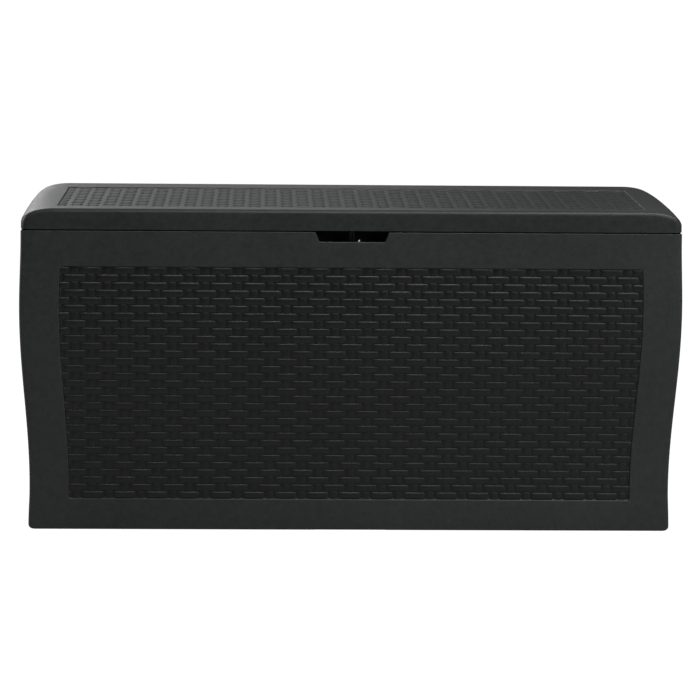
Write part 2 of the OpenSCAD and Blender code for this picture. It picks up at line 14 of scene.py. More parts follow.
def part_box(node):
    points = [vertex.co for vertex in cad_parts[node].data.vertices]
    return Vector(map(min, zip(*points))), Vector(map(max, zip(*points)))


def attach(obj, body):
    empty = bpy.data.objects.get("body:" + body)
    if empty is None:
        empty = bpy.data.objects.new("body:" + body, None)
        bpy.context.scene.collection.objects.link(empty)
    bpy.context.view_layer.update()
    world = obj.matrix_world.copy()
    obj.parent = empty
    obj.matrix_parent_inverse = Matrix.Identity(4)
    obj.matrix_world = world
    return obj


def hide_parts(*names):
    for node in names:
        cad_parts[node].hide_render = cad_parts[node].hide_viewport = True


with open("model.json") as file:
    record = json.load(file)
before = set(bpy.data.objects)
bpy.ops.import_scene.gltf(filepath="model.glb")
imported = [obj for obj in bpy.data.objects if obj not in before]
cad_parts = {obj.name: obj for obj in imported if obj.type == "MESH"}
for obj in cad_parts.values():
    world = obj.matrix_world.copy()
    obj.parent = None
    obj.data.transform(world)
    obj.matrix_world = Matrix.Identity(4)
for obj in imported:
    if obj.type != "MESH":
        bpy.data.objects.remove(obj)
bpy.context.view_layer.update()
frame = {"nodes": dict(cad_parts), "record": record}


def mm_box(node):
    low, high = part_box(node)
    return [v * 1000 for v in low], [v * 1000 for v in high]


# ---------------------------------------------------------------- sizes

LID_LOW, LID_HIGH = mm_box("lid_shell")
FRONT_LOW, FRONT_HIGH = mm_box("front_panel")
REAR_HIGH = mm_box("rear_panel")[1]
HALF_W = FRONT_HIGH[0]                  # half width and half depth at the bulge
HALF_D = REAR_HIGH[1]
TOP_X = LID_HIGH[0]                     # half width and half depth at the lid
TOP_Y = LID_HIGH[1]
LID_Z0 = LID_LOW[2]
LID_Z1 = LID_HIGH[2]
LIP_H = 10.0
BODY_H = FRONT_HIGH[2] - LIP_H          # top edge of the walls
FOOT_Z = FRONT_LOW[2]                   # bottom edge of the walls
WALL = 3.0
FIELD_D = 3.0                           # depth of the sunken fields
BULGE_DROP = 144.0
WAIST_Z = 85.0
WAIST_IN = 15.0
FOOT_OUT = 2.5
FOOT_R = 8.0
TOP_IN = HALF_W - TOP_X
FRONT_STILE = 70.0
SIDE_STILE = 56.0
FIELD_Z0 = 57.0
FIELD_Z1 = BODY_H - 63.0
FIELD_R = 4.5                           # corner radius of the fields
FIELD_MID = (FIELD_Z0 + FIELD_Z1) / 2
FIELD_TALL = (FIELD_Z1 - FIELD_Z0) / 2  # half the fields' height
CORNER_R = 6.0                          # upright corners of the body
WRAP_Y = 189.5                          # where the front and rear panels stop on the sides
SKIN_Y = 189.2                          # where the side panels start
LEDGE_H = 6.0
LIP_OUT = 4.5
LIP_IN = 7.5
LIP_END = 17.0                          # where the lip stops short of the lid's ends
FLANGE = 22.0
FLANGE_END = 45.0                       # where the bottom flange stops short of the corners
FLOOR_Z = 18.0
SQUEEZE_Z = 490.0                       # above it, rows are squeezed under notch and cut-outs
LEAN_X = 300.0                          # from here outwards, upright lines start to lean
LEAN_RUN = 190.0                        # and this far on, they follow the ends
NOTCH_TOP = 129.0                       # width of the finger notch at its top and its floor
NOTCH_LOW = 118.0
NOTCH_Z = BODY_H - 17.0
NOTCH_R = 4.0
CUT_R = 2.4                             # rounding of the edges of the notch and the hinge cut-outs
POCKET_SIDE = 85.0
HANDLE_Y = 58.0                         # half the handle opening's width
HANDLE_Z = 504.0
HANDLE_H = 14.0                         # half its height
HANDLE_R = 9.0
HANDLE_D = 24.0
HANDLE_HOOK = 6.0
HINGES = [-400.0, 0.0, 400.0]
HINGE_HALF = 42.5                       # half the length of the cut-outs round a hinge
HINGE_CUTS = [h + s * v for h in HINGES for s in (-1, 1) for v in (42.2, 42.45, 42.55, 42.8)]
KNUCKLE_R = 7.0
KNUCKLE_GAP = 1.5                       # room round the knuckles in the cut-outs
AXIS_Z = frame["record"]["behaviour"]["joints"][0]["pos_m"][2] * 1000
END_RX = 60.0                           # the lid's rounded ends
END_RZ = 26.0
END_FULL = 2.1                          # power of the ends' curve at the corners
END_FULLER = 0.9                        # and what the middle of the depth adds to it
END_SPREAD = 2.3                        # spreads the grid lines evenly along that curve
LID_EDGE_R = 8.0
LID_CORNER_R = 12.0
LID_FIELD_X = TOP_X - 62.0
LID_FIELD_Y0 = -TOP_Y + 43.0
LID_FIELD_Y1 = TOP_Y - 77.0
ROW = 13.45                             # weave: row pitch, repeat along a row
REPEAT = 57.3
WEFT_HALF = (18.75, 6.15)               # half length and half width of the long strands' stretches
WARP_HALF = (8.6, 6.25)                 # and of the upright strands' stretches
WALL_WEFT = 2.75                        # heights of the strands over the floor of their field
WALL_WARP = 1.3
LID_WEFT = 2.5
LID_WARP = 1.1
STRAND_GAP = 0.9                        # gap between the strands' cut ends and the field's border
STRAND_ROOT = 0.4                       # how far the strands reach below the floor of their field


def ease(t):
    t = min(1.0, max(0.0, t))
    return (1 - math.cos(math.pi * t)) / 2


def inset(z):
    """How far the wall lies inside the bulge at height z."""
    bulge = BODY_H - BULGE_DROP
    if z >= bulge:
        return TOP_IN * ease((z - bulge) / BULGE_DROP)
    if z >= WAIST_Z:
        return WAIST_IN * ease((bulge - z) / (bulge - WAIST_Z))
    return WAIST_IN - FOOT_OUT * ease((WAIST_Z - z) / WAIST_Z)


def foot_round(z):
    """How far the lower corners' rounding pulls an end in at height z."""
    rise = FOOT_Z + FOOT_R - z
    if rise <= 0:
        return 0.0
    return FOOT_R - math.sqrt(max(0.0, FOOT_R ** 2 - rise ** 2))


def half_w(z):
    return HALF_W - inset(z) - foot_round(z)


def half_d(z):
    return HALF_D - inset(z)


# ---------------------------------------------------------------- meshes

class Shape:
    """Vertices and faces of a piece, in millimetres."""

    def __init__(self):
        self.verts = []
        self.faces = []

    def add(self, verts, faces):
        base = len(self.verts)
        self.verts.extend(verts)
        self.faces.extend([tuple(base + i for i in f) for f in faces])

    def sheet(self, cols, rows, outer, inner):
        """A closed sheet: the outer and inner surfaces over a grid, joined round the edge."""
        n = len(cols)
        m = len(rows)
        verts = [outer(c, r) for r in rows for c in cols]
        verts += [inner(c, r) for r in rows for c in cols]
        faces = []
        back = n * m
        for j in range(m - 1):
            for i in range(n - 1):
                a = j * n + i
                faces.append((a, a + 1, a + 1 + n, a + n))
                faces.append((back + a, back + a + n, back + a + 1 + n, back + a + 1))
        rim = list(range(n))
        rim += [j * n + n - 1 for j in range(1, m)]
        rim += [(m - 1) * n + i for i in range(n - 2, -1, -1)]
        rim += [j * n for j in range(m - 2, 0, -1)]
        for k, a in enumerate(rim):
            b = rim[(k + 1) % len(rim)]
            faces.append((b, a, back + a, back + b))
        self.add(verts, faces)

    def skin(self, cols, rows, point):
        """A closed sheet whose outer and inner surfaces come from one function."""
        self.sheet(cols, rows, lambda c, r: point(c, r, False), lambda c, r: point(c, r, True))

    def bar(self, x, y, z, bevel=0.6):
        """A block with chamfered edges."""
        bm = bmesh.new()
        bmesh.ops.create_cube(bm, size=1)
        for v in bm.verts:
            v.co = Vector((
                (x[0] + x[1]) / 2 + v.co.x * (x[1] - x[0]),
                (y[0] + y[1]) / 2 + v.co.y * (y[1] - y[0]),
                (z[0] + z[1]) / 2 + v.co.z * (z[1] - z[0]),
            ))
        bmesh.ops.bevel(
            bm, geom=list(bm.edges), offset=bevel, segments=2, profile=0.5, affect="EDGES")
        bm.verts.index_update()
        faces = [tuple(v.index for v in f.verts) for f in bm.faces]
        self.add([tuple(v.co) for v in bm.verts], faces)
        bm.free()

    def mirrored(self, axis):
        other = Shape()
        other.verts = [tuple(-c if k == axis else c for k, c in enumerate(v)) for v in self.verts]
        other.faces = [tuple(reversed(f)) for f in self.faces]
        return other


def make(name, shape, material, body, slot, *nodes, sharp=35.0):
    """Makes a piece from a shape, riding on a body and standing for the nodes given."""
    mesh = bpy.data.meshes.new(name)
    mesh.from_pydata([(x / 1000, y / 1000, z / 1000) for x, y, z in shape.verts], [], shape.faces)
    bm = bmesh.new()
    bm.from_mesh(mesh)
    bmesh.ops.recalc_face_normals(bm, faces=list(bm.faces))
    for f in bm.faces:
        f.smooth = True
    for e in bm.edges:
        if len(e.link_faces) == 2 and e.calc_face_angle(0.0) > math.radians(sharp):
            e.smooth = False
    bm.to_mesh(mesh)
    bm.free()
    piece = bpy.data.objects.new(name, mesh)
    bpy.context.scene.collection.objects.link(piece)
    mesh.materials.append(material)
    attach(piece, body)
    if nodes:
        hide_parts(*nodes)
    return piece


def around(*edges):
    """Grid lines round each edge: close together across it and wider away from it."""
    steps = [-14, -10, -7, -5, -3.6, -3, -2.4, -1.4, -0.8, -0.4, 0, 0.4, 1, 2.4, 3, 3.6, 5, 8]
    return [edge + side * step for edge, side in edges for step in steps]


def lines(low, high, step, *groups):
    """Sorted grid lines from low to high: the groups' own, and more so that no gap passes step."""
    own = sorted({round(v, 3) for g in groups for v in g if low < v < high} | {low, high})
    result = [own[0]]
    for v in own[1:]:
        gap = v - result[-1]
        if gap < 0.04:
            continue
        n = max(1, math.ceil(gap / step))
        start = result[-1]
        result += [start + gap * k / n for k in range(1, n + 1)]
    result[-1] = high
    return result


def rounded_rect(p, q, hp, hq, r, fade=8.0):
    """Bends a grid so that the lines of a rectangle's border follow its rounded corners.
    Returns the bent point and how far the point lies outside the border."""
    out = max(abs(p) - hp, abs(q) - hq)
    dp = abs(p) - (hp - r)
    dq = abs(q) - (hq - r)
    if dp <= 0 or dq <= 0:
        return p, q, out
    m = max(dp, dq)
    s = m / math.hypot(dp, dq)
    if m > r:
        s += (1 - s) * min(1.0, (m - r) / fade)
    return (
        math.copysign(hp - r + dp * s, p),
        math.copysign(hq - r + dq * s, q),
        out,
    )


def recess(out, depth):
    """Depth of a recess at a distance outside its border, eased at the top and at the floor."""
    return depth * ease((0.9 - out) / 2.2)


# ---------------------------------------------------------------- long panels

def edge_round(d, r=1.1):
    """Rounding of a rim at a distance from it."""
    if d >= r:
        return 0.0
    return r - math.sqrt(max(0.0, r * r - (r - d) ** 2))


RIM = [0, 0.12, 0.35, 0.7, 1.1, 1.8, 2.6]


def wall_rows(*groups):
    ends = [FOOT_Z + d for d in RIM] + [BODY_H - d for d in RIM]
    foot = [FOOT_Z + d for d in (2.5, 3.5, 5, 6.5, 8, 10)]
    return lines(FOOT_Z, BODY_H, 18, ends, foot, around((FIELD_Z0, -1), (FIELD_Z1, 1)), *groups)


NOTCH_LEAN = math.atan((NOTCH_TOP - NOTCH_LOW) / 2 / (BODY_H - NOTCH_Z))
NOTCH_BEND_X = NOTCH_LOW / 2 - NOTCH_R              # centre of the notch's rounded corner
NOTCH_SIDE_X = NOTCH_BEND_X + NOTCH_R * math.cos(NOTCH_LEAN)
NOTCH_SIDE_Z = NOTCH_Z + NOTCH_R - NOTCH_R * math.sin(NOTCH_LEAN)


def notch_top(x):
    """Top edge of the front panel, with the finger notch."""
    x = abs(x)
    if x >= NOTCH_TOP / 2:
        return BODY_H
    if x <= NOTCH_BEND_X:
        return NOTCH_Z
    if x <= NOTCH_SIDE_X:
        return NOTCH_Z + NOTCH_R - math.sqrt(NOTCH_R ** 2 - (x - NOTCH_BEND_X) ** 2)
    rise = (BODY_H - NOTCH_SIDE_Z) / (NOTCH_TOP / 2 - NOTCH_SIDE_X)
    return NOTCH_SIDE_Z + (x - NOTCH_SIDE_X) * rise


def rear_top(x):
    """Top edge of the rear panel, with the cut-outs round the hinges."""
    if any(abs(x - h) < HINGE_HALF for h in HINGES):
        return AXIS_Z - KNUCKLE_R - KNUCKLE_GAP
    return BODY_H


def lean(x, z):
    """Lines near the ends follow the curve of the ends; those in the middle stay upright."""
    t = ease((abs(x) - LEAN_X) / LEAN_RUN)
    return x - math.copysign(inset(z) * t, x)


def long_panel(top, groups):
    """The skin of a long panel on the +Y side, with its wraps round both corners."""
    reach = HALF_W - CORNER_R
    border = HALF_W - FRONT_STILE
    flat = lines(-reach, reach, 22, around((border, 1), (-border, -1)), groups)
    cols = [("side", -1, f) for f in (0, 0.01, 0.03, 0.06, 0.3, 0.65, 1.0)]
    cols += [("arc", -1, a) for a in (15, 30, 45, 60, 75)]
    cols += [("flat", 0, x) for x in flat]
    cols += [("arc", 1, a) for a in (75, 60, 45, 30, 15)]
    cols += [("side", 1, f) for f in (1.0, 0.65, 0.3, 0.06, 0.03, 0.01, 0)]
    rows = wall_rows()

    def point(col, z, inside):
        kind, sign, v = col
        to_rim = min(z - FOOT_Z, BODY_H - z)
        base = WALL if inside else edge_round(to_rim)
        if kind == "flat":
            limit = top(v)
            if not inside and limit < BODY_H - 0.1:
                base = edge_round(to_rim, CUT_R)
            x, q, out = rounded_rect(v, z - FIELD_MID, border, FIELD_TALL, FIELD_R)
            grown = out - WALL if inside else out
            depth = base + recess(grown, FIELD_D)
            at = q + FIELD_MID
            if at > SQUEEZE_Z:
                at = SQUEEZE_Z + (at - SQUEEZE_Z) * (limit - SQUEEZE_Z) / (BODY_H - SQUEEZE_Z)
            reach_x = half_w(at) - CORNER_R
            x = max(-reach_x, min(reach_x, lean(x, at)))
            return (x, half_d(at) - depth, at)
        w = half_w(z)
        d = half_d(z)
        if kind == "arc":
            a = math.radians(v)
            r = CORNER_R - base
            return (
                sign * (w - CORNER_R + r * math.cos(a)),
                d - CORNER_R + r * math.sin(a),
                z,
            )
        y = WRAP_Y + v * (d - CORNER_R - WRAP_Y)
        if not inside:
            base = max(base, edge_round(y - WRAP_Y))
        return (sign * (w - base), y, z)

    shape = Shape()
    shape.skin(cols, rows, point)
    return shape


def flange_bar(shape):
    x = half_w(FLOOR_Z) - FLANGE_END
    y = half_d(FLOOR_Z)
    shape.bar([-x, x], [y - FLANGE, y - WALL + 0.5], [FLOOR_Z - WALL, FLOOR_Z])


def front_panel():
    half = [30, 45, NOTCH_BEND_X - 2, NOTCH_TOP / 2 + 0.2, NOTCH_TOP / 2 + 1.5, NOTCH_TOP / 2 + 5]
    turns = (0, 15, 28, 40, 51, 60, 67)
    half += [NOTCH_BEND_X + NOTCH_R * math.sin(math.radians(a)) for a in turns]
    half += [NOTCH_SIDE_X + (NOTCH_TOP / 2 - NOTCH_SIDE_X) * k / 6 for k in range(7)]
    notch = [side * v for side in (-1, 1) for v in half]
    shape = long_panel(notch_top, notch)
    x = TOP_X - LIP_END
    for side in (-1, 1):
        run = sorted([side * POCKET_SIDE, side * x])
        shape.bar(run, [TOP_Y - LIP_IN, TOP_Y - 1], [BODY_H - LEDGE_H, BODY_H])
        shape.bar(run, [TOP_Y - LIP_IN, TOP_Y - LIP_OUT], [BODY_H - 1, BODY_H + LIP_H], 0.9)
    flange_bar(shape)
    return shape.mirrored(1)


def rear_panel():
    shape = long_panel(rear_top, HINGE_CUTS)
    x = TOP_X - LIP_END
    edges = [-x] + [h + s * HINGE_HALF for h in HINGES for s in (-1, 1)] + [x]
    for k in range(0, len(edges), 2):
        shape.bar([edges[k], edges[k + 1]], [TOP_Y - LIP_IN, TOP_Y - 1], [BODY_H - LEDGE_H, BODY_H])
    flange_bar(shape)
    return shape


# ---------------------------------------------------------------- side panels

def cup(out):
    """Depth of the handle cup at a distance outside its border: a rounded mouth and steep walls."""
    if out >= 1.0:
        return 0.0
    if out > 0.0:
        return 1.0 - math.sqrt(max(0.0, 1 - (1 - out) ** 2))
    steps = [(0.0, 1.0), (-0.06, 4.2), (-0.12, 5.2), (-0.4, HANDLE_D - 1.2), (-1.2, HANDLE_D)]
    for (o0, d0), (o1, d1) in zip(steps, steps[1:]):
        if out >= o1:
            return d0 + (d1 - d0) * (o0 - out) / (o0 - o1)
    return HANDLE_D


def side_panel():
    """The right-hand side panel."""
    near = [3.6, 3, 2.94, 2.88, 2.6, 1.8, 1.0, 0.7, 0.4, 0.15, 0]
    near += [-0.06, -0.12, -0.4, -1.2, -3, -6, -9]
    mouth_y = [s * (HANDLE_Y + v) for s in (-1, 1) for v in near]
    mouth_z = [HANDLE_Z + s * (HANDLE_H + v) for s in (-1, 1) for v in near]
    border = HALF_D - SIDE_STILE
    ends = [s * (SKIN_Y - d) for s in (-1, 1) for d in RIM]
    cols = lines(-SKIN_Y, SKIN_Y, 18, ends, mouth_y, around((border, 1), (-border, -1)))
    rows = wall_rows(mouth_z, [HANDLE_Z - 0.5, HANDLE_Z + 0.5])

    def point(y0, z0, inside):
        y, q, out = rounded_rect(y0, z0 - FIELD_MID, border, FIELD_TALL, FIELD_R)
        z = q + FIELD_MID
        y, q, mouth = rounded_rect(y, z - HANDLE_Z, HANDLE_Y, HANDLE_H, HANDLE_R, 6)
        z = q + HANDLE_Z
        mouth = max(abs(y0) - HANDLE_Y, abs(z0 - HANDLE_Z) - HANDLE_H)
        fade = ease((abs(y0) - 70) / 60) * ease((SKIN_Y - abs(y0)) / 16)
        y -= math.copysign(inset(z) * fade, y)
        if inside:
            deep = max(recess(out - WALL, FIELD_D), cup(mouth - WALL))
            base = WALL
        else:
            deep = max(recess(out, FIELD_D), cup(mouth))
            base = edge_round(min(z0 - FOOT_Z, BODY_H - z0, SKIN_Y - abs(y0)))
        wall_x = half_w(z)
        if deep > 5 and z0 > HANDLE_Z:
            z += HANDLE_HOOK
        return (wall_x - base - deep, y, z)

    shape = Shape()
    shape.skin(cols, rows, point)
    shape.bar([TOP_X - LIP_IN, TOP_X - 1], [-SKIN_Y, SKIN_Y], [BODY_H - LEDGE_H, BODY_H])
    lip_y = TOP_Y - LIP_IN - 10
    shape.bar([TOP_X - LIP_IN, TOP_X - LIP_OUT], [-lip_y, lip_y], [BODY_H - 1, BODY_H + LIP_H], 0.9)
    flange_y = half_d(FLOOR_Z) - FLANGE_END
    flange_x = half_w(FLOOR_Z)
    flange_run = [flange_x - FLANGE, flange_x - WALL + 0.5]
    shape.bar(flange_run, [-flange_y, flange_y], [FLOOR_Z - WALL, FLOOR_Z])
    # tongues behind the wraps of the long panels
    tongue_y = HALF_D - WAIST_IN - WALL - 1
    for side in (-1, 1):
        tongue = Shape()
        levels = lines(FLOOR_Z + 7, BODY_H - LEDGE_H - 1, 18, [])
        tongue.sheet(
            [SKIN_Y - 11, SKIN_Y - 0.4, tongue_y],
            levels,
            lambda y, z: (half_w(z) - (1.0 if y < SKIN_Y - 5 else WALL + 0.3), y, z),
            lambda y, z: (half_w(z) - 2 * WALL - 0.3, y, z),
        )
        if side < 0:
            tongue = tongue.mirrored(1)
        shape.add(tongue.verts, tongue.faces)
    return shape


# ---------------------------------------------------------------- lid

def lid_shell():
    spring = LID_Z1 - END_RZ

    def end_z(x, y, off):
        """Height of the top over the ends, which are fuller in the middle than at the corners."""
        fullness = END_FULL + END_FULLER * (1 - min(1.0, abs(y) / TOP_Y) ** 2)
        rx = END_RX - off
        rz = END_RZ - off
        over = (abs(x) - (TOP_X - END_RX)) / rx
        if over <= 0:
            return LID_Z1 - off
        if over >= 1:
            return spring
        return spring + rz * (1 - over ** fullness) ** (1 / fullness)

    border_y = (LID_FIELD_Y1 - LID_FIELD_Y0) / 2
    mid_y = (LID_FIELD_Y1 + LID_FIELD_Y0) / 2
    start = TOP_X - END_RX
    # stations over the width: a rise up the end, the rounded end, and the flat top
    angles = [k * 90 / 18 for k in range(1, 18)]
    curve = [math.sin(math.radians(a)) ** (2 / END_SPREAD) for a in angles]
    top = lines(-start, start, 22, HINGE_CUTS, around((LID_FIELD_X, 1), (-LID_FIELD_X, -1)))
    rise = [0.0, 0.3, 0.8, 1.6, 4.0, 7.5, spring - LID_Z0]
    cols = [("rise", -1, v) for v in rise]
    cols += [("bend", -1, v) for v in reversed(curve)]
    cols += [("top", 0, v) for v in top]
    cols += [("bend", 1, v) for v in curve]
    cols += [("rise", 1, v) for v in reversed(rise)]
    edge = [k * 90 / 6 for k in range(1, 6)]
    reach = TOP_Y - LID_EDGE_R
    flat = lines(-reach, reach, 20, around((LID_FIELD_Y1, 1), (LID_FIELD_Y0, -1)))
    skirt = [0.0, 0.015, 0.04, 0.1, 0.3, 0.6, 1.0]
    rows = [("skirt", -1, v) for v in skirt]
    rows += [("edge", -1, v) for v in edge]
    rows += [("flat", 0, v) for v in flat]
    rows += [("edge", 1, v) for v in reversed(edge)]
    rows += [("skirt", 1, v) for v in reversed(skirt)]

    def point(col, row, inside):
        off = WALL if inside else 0.0
        kind, sx, v = col
        row_kind, sy, w = row
        if kind == "rise":
            x = sx * (TOP_X - off)
            z = LID_Z0 + v
        elif kind == "bend":
            x = sx * (start + (END_RX - off) * v)
            z = end_z(x, w if row_kind == "flat" else TOP_Y, off)
        else:
            x = v
            z = LID_Z1 - off
        r = LID_EDGE_R - off
        low = LID_Z0
        if sy > 0 and kind == "top" and any(abs(v - h) < HINGE_HALF for h in HINGES):
            low = AXIS_Z + KNUCKLE_R + KNUCKLE_GAP
        if row_kind == "skirt":
            y = sy * (TOP_Y - off)
            z = low + w * max(0.0, z - r - low)
        elif row_kind == "edge":
            a = math.radians(w)
            y = sy * (TOP_Y - off - r + r * math.cos(a))
            z = max(low, z - r + r * math.sin(a))
        else:
            beyond = abs(w) > max(-LID_FIELD_Y0, LID_FIELD_Y1) + 9
            y = w * (TOP_Y - off - r) / reach if beyond else w
            fx, fy, out = rounded_rect(x, y - mid_y, LID_FIELD_X, border_y, 6.0, 2)
            if kind == "top":
                x = fx
                y = fy + mid_y
                z -= recess(out - off, FIELD_D)
        # rounded upright corners
        dx = abs(x) - (TOP_X - LID_CORNER_R)
        dy = abs(y) - (TOP_Y - LID_CORNER_R)
        if dx > 0 and dy > 0:
            s = max(dx, dy) / math.hypot(dx, dy)
            x = math.copysign(TOP_X - LID_CORNER_R + dx * s, x)
            y = math.copysign(TOP_Y - LID_CORNER_R + dy * s, y)
        return (x, y, z)

    shape = Shape()
    shape.skin(cols, rows, point)
    return shape


# ---------------------------------------------------------------- weave

def noise(i, j, k):
    """A repeatable number from -1 to 1."""
    v = math.sin(i * 127.1 + j * 311.7 + k * 74.7) * 43758.5453
    return 2 * (v - math.floor(v)) - 1


def pillow(along, across, bulge_n, end_n):
    """A strand's visible stretch: a grid of (a, b, height) and its faces, closed below."""
    verts = []
    for a in along:
        for b in across:
            h = (1 - min(1, abs(b)) ** bulge_n) ** (1 / bulge_n)
            h *= (1 - min(1, abs(a)) ** end_n) ** (1 / end_n)
            verts.append((a, b, h * (1 - 0.16 * a * a)))
    n = len(across)
    m = len(along)
    faces = [(i * n + j, i * n + j + 1, (i + 1) * n + j + 1, (i + 1) * n + j)
             for i in range(m - 1) for j in range(n - 1)]
    rim = list(range(n)) + [i * n + n - 1 for i in range(1, m)]
    rim += [(m - 1) * n + j for j in range(n - 2, -1, -1)] + [i * n for i in range(m - 2, 0, -1)]
    faces.append(tuple(reversed(rim)))
    return verts, faces


WEFT = pillow([-1, -0.975, -0.91, -0.72, -0.3, 0.3, 0.72, 0.91, 0.975, 1],
              [-1, -0.95, -0.8, -0.4, 0.4, 0.8, 0.95, 1], 3.4, 5)
WARP = pillow([-1, -0.8, -0.35, 0.35, 0.8, 1], [-1, -0.93, -0.7, 0, 0.7, 0.93, 1], 3.4, 4)


def weave(place, half_u, v0, v1, weft_h, warp_h):
    """Strands over a field: half_u(v) is half its width, place(u, v, height) gives a point."""
    shape = Shape()
    rows = round((v1 - v0) / ROW)
    pitch = (v1 - v0) / rows
    widest = max(half_u(v0 + (v1 - v0) * k / 20) for k in range(21))
    count = math.ceil(widest / REPEAT) + 1

    def strand(template, cu, cv, half_a, half_b, upright, height, key):
        verts = []
        lift = height * (1 + 0.05 * noise(*key))
        for a, b, h in template[0]:
            u = cu + (half_b * b if upright else half_a * a)
            v = cv + (half_a * a if upright else half_b * b)
            v = max(v0 + STRAND_GAP, min(v1 - STRAND_GAP, v))
            edge = half_u(v) - STRAND_GAP
            if not upright:
                h *= 0.86 + 0.14 * b
            u = max(-edge, min(edge, u))
            verts.append(place(u, v, -STRAND_ROOT + (lift + STRAND_ROOT) * h))
        shape.add(verts, template[1])

    for row in range(rows):
        cv = v0 + (row + 0.5) * pitch
        shift = 0.5 if row % 2 else 0.0
        for k in range(-count, count + 1):
            over = (k + shift) * REPEAT
            under = (k + shift + 0.5) * REPEAT
            if abs(over) - 16 < half_u(cv):
                start = over + 0.4 * noise(row, k, 1)
                strand(WEFT, start, cv, *WEFT_HALF, False, weft_h, (row, k, 2))
            if abs(under) - 4 < half_u(cv):
                strand(WARP, under, cv, *WARP_HALF, True, warp_h, (row, k, 3))
    return shape


# ---------------------------------------------------------------- materials

def plastic(name, dark, light, rough, grain, specular, painted_highlight=None):
    """Moulded plastic: changes of tone, mottling and a grained surface; an optional pale colour
    paints a highlight onto upward-facing edges.
    """
    mat = bpy.data.materials.new(name)
    mat.use_nodes = True
    tree = mat.node_tree
    nodes = tree.nodes
    link = tree.links.new
    shader = nodes["Principled BSDF"]
    shader.inputs["Specular IOR Level"].default_value = specular
    where = nodes.new("ShaderNodeTexCoord")

    def field(scale, detail, roughness=0.5):
        n = nodes.new("ShaderNodeTexNoise")
        n.inputs["Scale"].default_value = scale
        n.inputs["Detail"].default_value = detail
        n.inputs["Roughness"].default_value = roughness
        link(where.outputs["Object"], n.inputs["Vector"])
        return n.outputs["Fac"]

    slow = field(3.1, 3)
    mottle = field(85, 4, 0.6)
    grit = field(330, 3, 0.6)
    fine = field(900, 2, 0.7)
    cells = nodes.new("ShaderNodeTexVoronoi")
    cells.inputs["Scale"].default_value = 620
    link(where.outputs["Object"], cells.inputs["Vector"])

    def mix(a, b, share):
        m = nodes.new("ShaderNodeMath")
        m.operation = "MULTIPLY_ADD"
        link(b, m.inputs[0])
        m.inputs[1].default_value = share
        if isinstance(a, float):
            m.inputs[2].default_value = a
        else:
            link(a, m.inputs[2])
        return m.outputs[0]

    tone = mix(mix(mix(-0.25, slow, 0.45), mottle, 0.55), grit, 0.5)
    ramp = nodes.new("ShaderNodeValToRGB")
    ramp.color_ramp.elements[0].position = 0.25
    ramp.color_ramp.elements[1].position = 0.8
    ramp.color_ramp.elements[0].color = (*dark, 1)
    ramp.color_ramp.elements[1].color = (*light, 1)
    link(tone, ramp.inputs["Fac"])
    colour = ramp.outputs["Color"]
    # painted highlight: surfaces facing upward are mixed toward the pale colour, standing in for
    # light from above
    if painted_highlight:
        facing = nodes.new("ShaderNodeSeparateXYZ")
        link(where.outputs["Normal"], facing.inputs[0])
        upward = nodes.new("ShaderNodeMapRange")
        upward.inputs["From Min"].default_value = 0.15
        upward.inputs["From Max"].default_value = 0.75
        link(facing.outputs["Z"], upward.inputs["Value"])
        painted_edge_highlight = nodes.new("ShaderNodeMix")
        painted_edge_highlight.data_type = "RGBA"
        painted_edge_highlight.inputs[7].default_value = (*painted_highlight, 1)
        link(upward.outputs["Result"], painted_edge_highlight.inputs["Factor"])
        link(colour, painted_edge_highlight.inputs[6])
        colour = painted_edge_highlight.outputs[2]
    link(colour, shader.inputs["Base Color"])

    gloss = mix(mix(rough - 0.09, mottle, 0.12), slow, 0.06)
    link(gloss, shader.inputs["Roughness"])

    height = mix(mix(mix(0.0, fine, 0.4), grit, 0.9), cells.outputs["Distance"], 0.4)
    bump = nodes.new("ShaderNodeBump")
    bump.inputs["Strength"].default_value = grain
    bump.inputs["Distance"].default_value = 0.00025
    link(height, bump.inputs["Height"])
    link(bump.outputs["Normal"], shader.inputs["Normal"])
    return mat


def steel_material(name, dark, light):
    """Brushed steel with fine brushing and dull patches."""
    mat = bpy.data.materials.new(name)
    mat.use_nodes = True
    tree = mat.node_tree
    nodes = tree.nodes
    link = tree.links.new
    shader = nodes["Principled BSDF"]
    shader.inputs["Metallic"].default_value = 1.0
    where = nodes.new("ShaderNodeTexCoord")
    stretch = nodes.new("ShaderNodeMapping")
    stretch.inputs["Scale"].default_value = (60, 900, 900)
    link(where.outputs["Object"], stretch.inputs["Vector"])
    brush = nodes.new("ShaderNodeTexNoise")
    brush.inputs["Scale"].default_value = 1.0
    brush.inputs["Detail"].default_value = 4
    link(stretch.outputs["Vector"], brush.inputs["Vector"])
    patch = nodes.new("ShaderNodeTexNoise")
    patch.inputs["Scale"].default_value = 140
    patch.inputs["Detail"].default_value = 3
    link(where.outputs["Object"], patch.inputs["Vector"])
    ramp = nodes.new("ShaderNodeValToRGB")
    ramp.color_ramp.elements[0].position = 0.3
    ramp.color_ramp.elements[1].position = 0.7
    ramp.color_ramp.elements[0].color = (*dark, 1)
    ramp.color_ramp.elements[1].color = (*light, 1)
    link(patch.outputs["Fac"], ramp.inputs["Fac"])
    link(ramp.outputs["Color"], shader.inputs["Base Color"])
    rough = nodes.new("ShaderNodeMapRange")
    rough.inputs["To Min"].default_value = 0.28
    rough.inputs["To Max"].default_value = 0.5
    link(brush.outputs["Fac"], rough.inputs["Value"])
    link(rough.outputs["Result"], shader.inputs["Roughness"])
    bump = nodes.new("ShaderNodeBump")
    bump.inputs["Strength"].default_value = 0.15
    bump.inputs["Distance"].default_value = 0.0001
    link(brush.outputs["Fac"], bump.inputs["Height"])
    link(bump.outputs["Normal"], shader.inputs["Normal"])
    return mat


